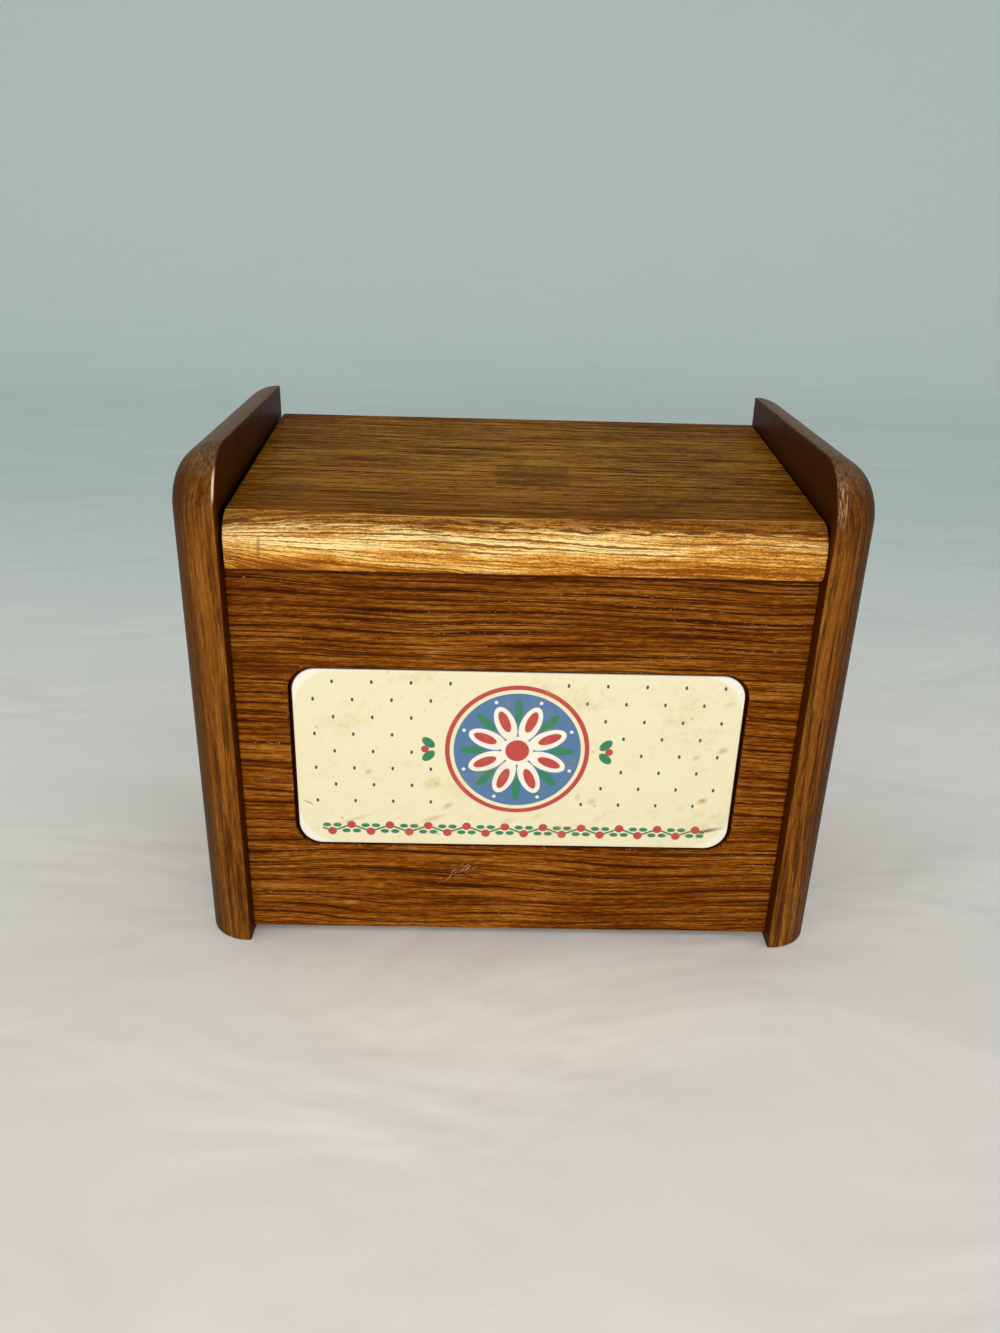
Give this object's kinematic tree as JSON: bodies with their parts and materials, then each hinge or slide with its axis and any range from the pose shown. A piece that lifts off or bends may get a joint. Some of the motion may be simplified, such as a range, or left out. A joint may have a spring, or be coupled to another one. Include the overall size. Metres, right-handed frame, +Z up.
{
  "type": "recipe card box",
  "caption": "Hinged wooden box for index cards: tall rounded side boards, sloping lid with a rounded nose and a picture plaque let into the front.",
  "frame": {"origin": "on the surface the box stands on, under the middle of its whole outline, hinge barrels included", "axes": "+X to the right seen from the front (longest side), +Y from the front to the hinges at the back, +Z up"},
  "size_m": [0.1638, 0.09, 0.1319],
  "materials": {
    "oak_sides": "stained oak, satin lacquer, grain upright",
    "oak_boards": "stained oak, satin lacquer, grain level",
    "oak_lid": "stained oak, satin lacquer, nose worn to a lighter gold",
    "hardboard": "brown hardboard, smooth face up",
    "beech_dowel": "plain dowel, glued",
    "plaque_cream": "cream printed laminate, glossy, lightly stained",
    "hinge_brass": "pressed brass, dulled"
  },
  "bodies": {
    "box": {"side_panel_left": "oak_sides", "side_panel_right": "oak_sides", "front_panel": "oak_boards", "back_panel": "oak_boards", "bottom_panel": "hardboard", "picture_plaque": "plaque_cream", "dowels_front_left": "beech_dowel", "dowels_front_right": "beech_dowel", "dowels_back_left": "beech_dowel", "dowels_back_right": "beech_dowel", "hinge_left_box_leaf": "hinge_brass", "hinge_left_pin": "hinge_brass", "hinge_left_box_screws": "hinge_brass", "hinge_right_box_leaf": "hinge_brass", "hinge_right_pin": "hinge_brass", "hinge_right_box_screws": "hinge_brass"},
    "lid": {"lid_board": "oak_lid", "hinge_left_lid_leaf": "hinge_brass", "hinge_left_lid_screws": "hinge_brass", "hinge_right_lid_leaf": "hinge_brass", "hinge_right_lid_screws": "hinge_brass"}
  },
  "joints": [
    {"name": "lid_hinge", "type": "hinge", "parent": "box", "child": "lid", "pos_m": [0, 0.04322, 0.1115], "axis": [-1, 0, 0], "range_deg": [0, 190]}
  ]
}
